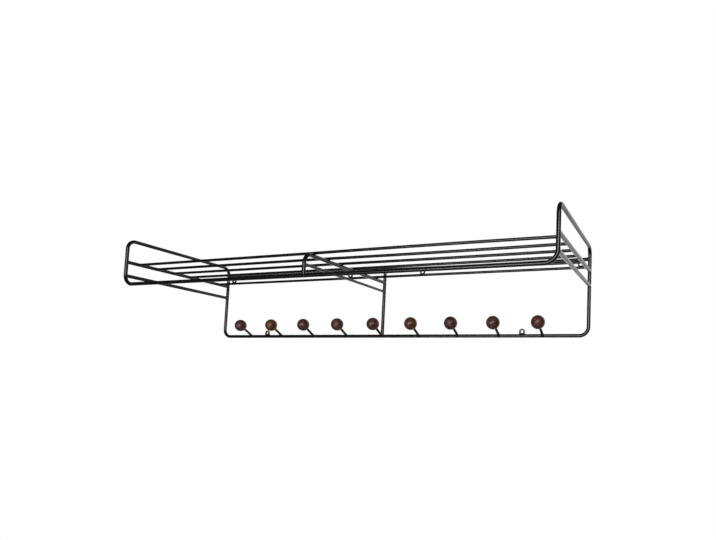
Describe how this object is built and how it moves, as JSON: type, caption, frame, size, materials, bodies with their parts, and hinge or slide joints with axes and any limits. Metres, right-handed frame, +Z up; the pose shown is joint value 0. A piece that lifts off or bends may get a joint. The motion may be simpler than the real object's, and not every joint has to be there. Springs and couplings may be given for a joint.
{
  "type": "hat rack",
  "caption": "Wall-mounted hat rack of bent and welded black steel wire, with an open wire shelf for hats and a row of wooden balls on pegs below it for coats.",
  "frame": {"origin": "on the wall's surface, midway between the centres of the upper wall eyelets", "axes": "+X to the right seen from the front, -Y out of the wall towards the room, +Z up"},
  "size_m": [1, 0.319, 0.197],
  "materials": {
    "black_paint": "satin black powder coat",
    "stained_wood": "dark red-brown stain under a thin satin lacquer"
  },
  "bodies": {
    "root": {"main_loop": "black_paint", "mid_side_rail_left": "black_paint", "mid_side_rail_right": "black_paint", "low_side_rail_left": "black_paint", "low_side_rail_right": "black_paint", "top_back_rail": "black_paint", "middle_post": "black_paint", "middle_bracket": "black_paint", "middle_brace": "black_paint", "shelf_wire_1": "black_paint", "shelf_wire_2": "black_paint", "shelf_wire_3": "black_paint", "shelf_wire_4": "black_paint", "shelf_wire_5": "black_paint", "shelf_wire_6": "black_paint", "peg_1": "black_paint", "peg_2": "black_paint", "peg_3": "black_paint", "peg_4": "black_paint", "peg_5": "black_paint", "peg_6": "black_paint", "peg_7": "black_paint", "peg_8": "black_paint", "peg_9": "black_paint", "eyelet_bottom_left": "black_paint", "eyelet_bottom_right": "black_paint", "eyelet_top_outer_left": "black_paint", "eyelet_top_outer_right": "black_paint", "eyelet_top_inner_left": "black_paint", "eyelet_top_inner_right": "black_paint", "ball_1": "stained_wood", "ball_2": "stained_wood", "ball_3": "stained_wood", "ball_4": "stained_wood", "ball_5": "stained_wood", "ball_6": "stained_wood", "ball_7": "stained_wood", "ball_8": "stained_wood", "ball_9": "stained_wood"}
  },
  "joints": []
}
